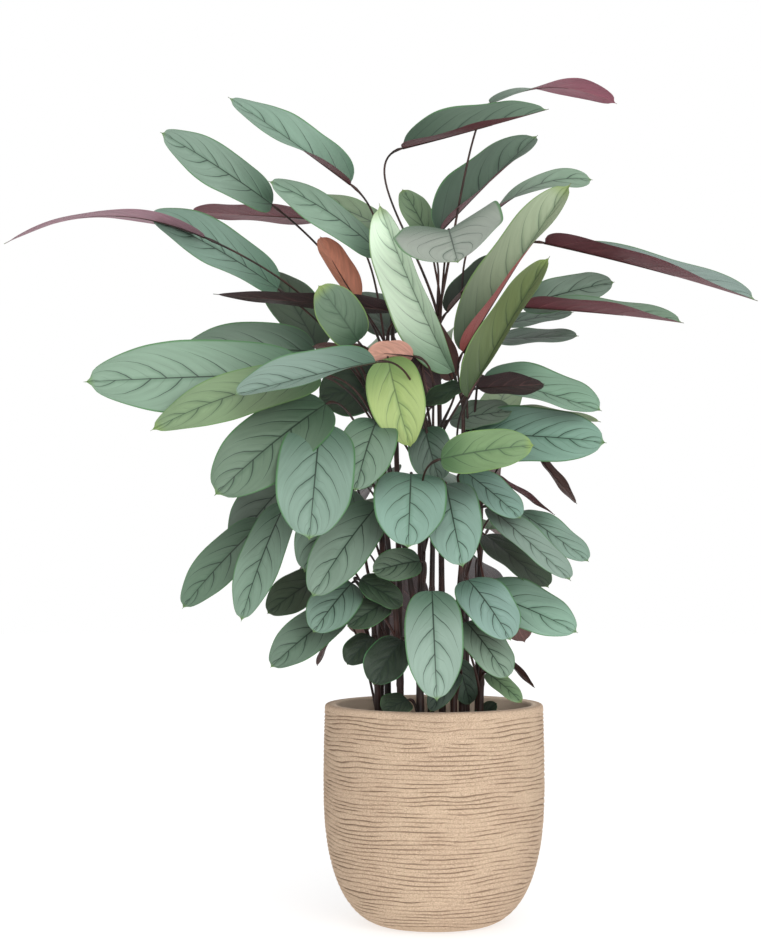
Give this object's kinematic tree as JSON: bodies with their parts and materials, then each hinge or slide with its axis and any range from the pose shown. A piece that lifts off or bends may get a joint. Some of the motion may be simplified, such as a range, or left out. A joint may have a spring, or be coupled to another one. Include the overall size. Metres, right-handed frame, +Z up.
{
  "type": "potted calathea with patterned leaves",
  "caption": "Bushy upright foliage plant with oblong silver-green leaves on thin dark stalks, standing in soil in a round ribbed planter.",
  "frame": {"origin": "middle of the planter's flat foot, on the floor", "axes": "+Z up along the planter's axis, -Y to the front of the plant as it is seen, +X to its right"},
  "size_m": [0.9641, 0.7055, 1.1393],
  "materials": {
    "stoneware": "matt sand-beige with a fine grain",
    "potting_soil": "loose dark potting soil of peat and bark",
    "silver_leaf": "silver-green upper side with dark veins, maroon underside, soft sheen"
  },
  "bodies": {
    "root": {"pot": "stoneware", "soil": "potting_soil", "shoot_top_left": "silver_leaf", "shoot_upper_left": "silver_leaf", "shoot_left": "silver_leaf", "shoot_lower_left": "silver_leaf", "shoot_low_left": "silver_leaf", "shoot_middle_high": "silver_leaf", "shoot_middle_low": "silver_leaf", "shoot_top_right": "silver_leaf", "shoot_upper_right": "silver_leaf", "shoot_right": "silver_leaf", "shoot_lower_right": "silver_leaf", "shoot_low_right": "silver_leaf", "shoot_back_left": "silver_leaf", "shoot_back_middle": "silver_leaf", "shoot_back_right": "silver_leaf"}
  },
  "joints": []
}
